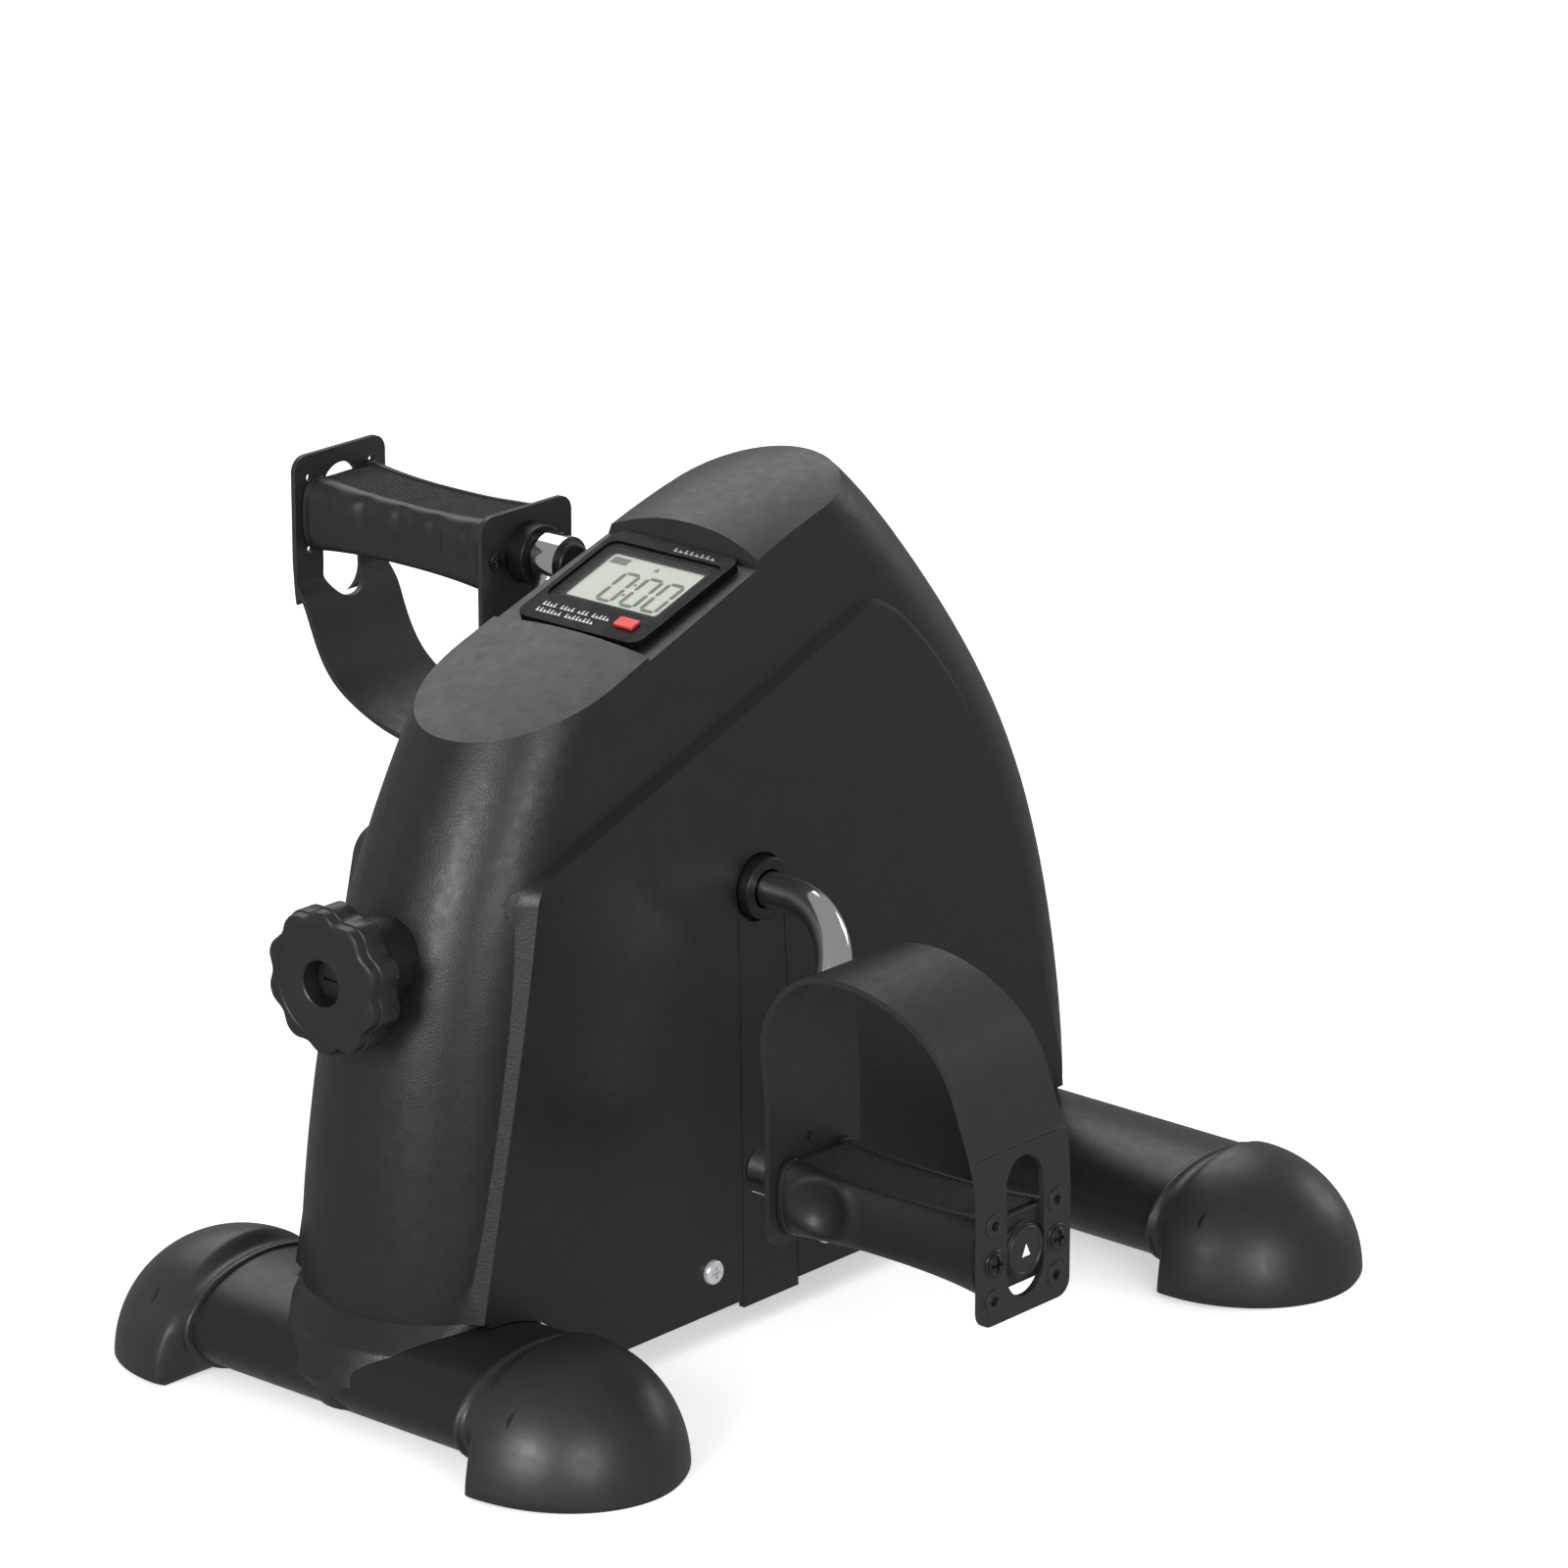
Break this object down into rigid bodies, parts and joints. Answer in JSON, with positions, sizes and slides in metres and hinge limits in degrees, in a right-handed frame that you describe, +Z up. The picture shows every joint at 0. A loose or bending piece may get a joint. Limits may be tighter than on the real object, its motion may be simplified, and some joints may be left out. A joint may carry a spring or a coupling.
{
  "type": "pedal exerciser",
  "caption": "Small floor pedal exerciser: black housing on two foot tubes, bent chrome crank with strapped pedals, tension knob and tilted monitor.",
  "frame": {"origin": "on the floor under the middle of the machine's bounding box", "axes": "+Z up, +X towards the user's right pedal, -Y towards the user and the tension knob"},
  "size_m": [0.405, 0.389, 0.3019],
  "materials": {
    "housing_plastic": "fine grained matte black moulding",
    "cap_plastic": "smooth semi-gloss black moulding",
    "black_paint": "black powder coat",
    "zinc_steel": "bright zinc plate",
    "chrome": "polished chrome plate",
    "bush_plastic": "black nylon",
    "knob_plastic": "black moulded, satin",
    "pedal_plastic": "black moulded, satin",
    "tread_rubber": "ribbed black rubber",
    "strap_rubber": "matte black soft moulded strap",
    "medallion_plastic": "dark grey disc",
    "black_screw": "blackened cross-head screw",
    "felt": "grey friction felt",
    "magnet": "plain magnet",
    "case_plastic": "black satin moulding",
    "clear_window": "clear window",
    "lcd": "grey-green liquid-crystal panel",
    "board": "green circuit board",
    "battery_jacket": "plain battery jacket",
    "red_button": "red key",
    "sensor_plastic": "black sensor body",
    "lead_jacket": "black lead jacket"
  },
  "bodies": {
    "root": {"housing_cover": "housing_plastic", "front_saddle": "housing_plastic", "rear_saddle": "housing_plastic", "front_tube": "black_paint", "rear_tube": "black_paint", "main_beam": "black_paint", "screw_post": "black_paint", "foot_bolts": "zinc_steel", "foot_nuts": "zinc_steel", "cross_brackets": "black_paint", "housing_screws": "zinc_steel", "knob_collar": "bush_plastic", "monitor_case": "case_plastic", "monitor_window": "clear_window", "lcd_panel": "lcd", "circuit_board": "board", "battery": "battery_jacket", "monitor_back": "case_plastic", "reed_sensor": "sensor_plastic", "sensor_lead": "lead_jacket", "slot_cover_right": "housing_plastic", "frame_upright_right": "black_paint", "crank_bearing_right": "bush_plastic", "crank_grommet_right": "bush_plastic", "front_cap_right": "cap_plastic", "rear_cap_right": "cap_plastic", "slot_cover_left": "housing_plastic", "frame_upright_left": "black_paint", "crank_bearing_left": "bush_plastic", "crank_grommet_left": "bush_plastic", "front_cap_left": "cap_plastic", "rear_cap_left": "cap_plastic"},
    "crank": {"crank_rod": "chrome", "friction_drum": "bush_plastic", "drum_magnet": "magnet", "crank_rings": "zinc_steel", "pedal_pins": "chrome", "pin_caps": "bush_plastic"},
    "knob": {"tension_knob": "knob_plastic", "tension_screw": "black_screw", "screw_clip": "zinc_steel"},
    "band": {"brake_band": "zinc_steel", "brake_lining": "felt", "band_clamp": "zinc_steel", "tension_nut": "zinc_steel"},
    "button": {"monitor_button": "red_button"},
    "pedal_right": {"pedal_body_right": "pedal_plastic", "tread_pads_right": "tread_rubber", "medallion_right": "medallion_plastic", "strap_right": "strap_rubber", "strap_screws_right": "black_screw", "hub_right": "bush_plastic"},
    "pedal_left": {"pedal_body_left": "pedal_plastic", "tread_pads_left": "tread_rubber", "medallion_left": "medallion_plastic", "strap_left": "strap_rubber", "strap_screws_left": "black_screw", "hub_left": "bush_plastic"}
  },
  "joints": [
    {"name": "crank_spin", "type": "hinge", "parent": "root", "child": "crank", "pos_m": [0, -0.0085, 0.166], "axis": [1, 0, 0], "continuous": true},
    {"name": "pedal_right_spin", "type": "hinge", "parent": "crank", "child": "pedal_right", "pos_m": [0.15, -0.04905, 0.08098], "axis": [1, 0, 0], "continuous": true},
    {"name": "pedal_left_spin", "type": "hinge", "parent": "crank", "child": "pedal_left", "pos_m": [-0.15, 0.03205, 0.25102], "axis": [1, 0, 0], "continuous": true},
    {"name": "tension_knob_turn", "type": "hinge", "parent": "root", "child": "knob", "pos_m": [0, -0.17, 0.166], "axis": [0, 1, 0], "range_deg": [0, 720]},
    {"name": "brake_band_draw", "type": "slide", "parent": "root", "child": "band", "axis": [0, -1, 0], "range_m": [0, 0.0025]},
    {"name": "monitor_button_press", "type": "slide", "parent": "root", "child": "button", "axis": [0, 0.3181, -0.948], "range_m": [0, 0.0008], "stiffness_N_per_m": 400}
  ],
  "couplings": [
    {"joint": "brake_band_draw", "follows": "tension_knob_turn", "m_per_rad": 0.00019894}
  ]
}
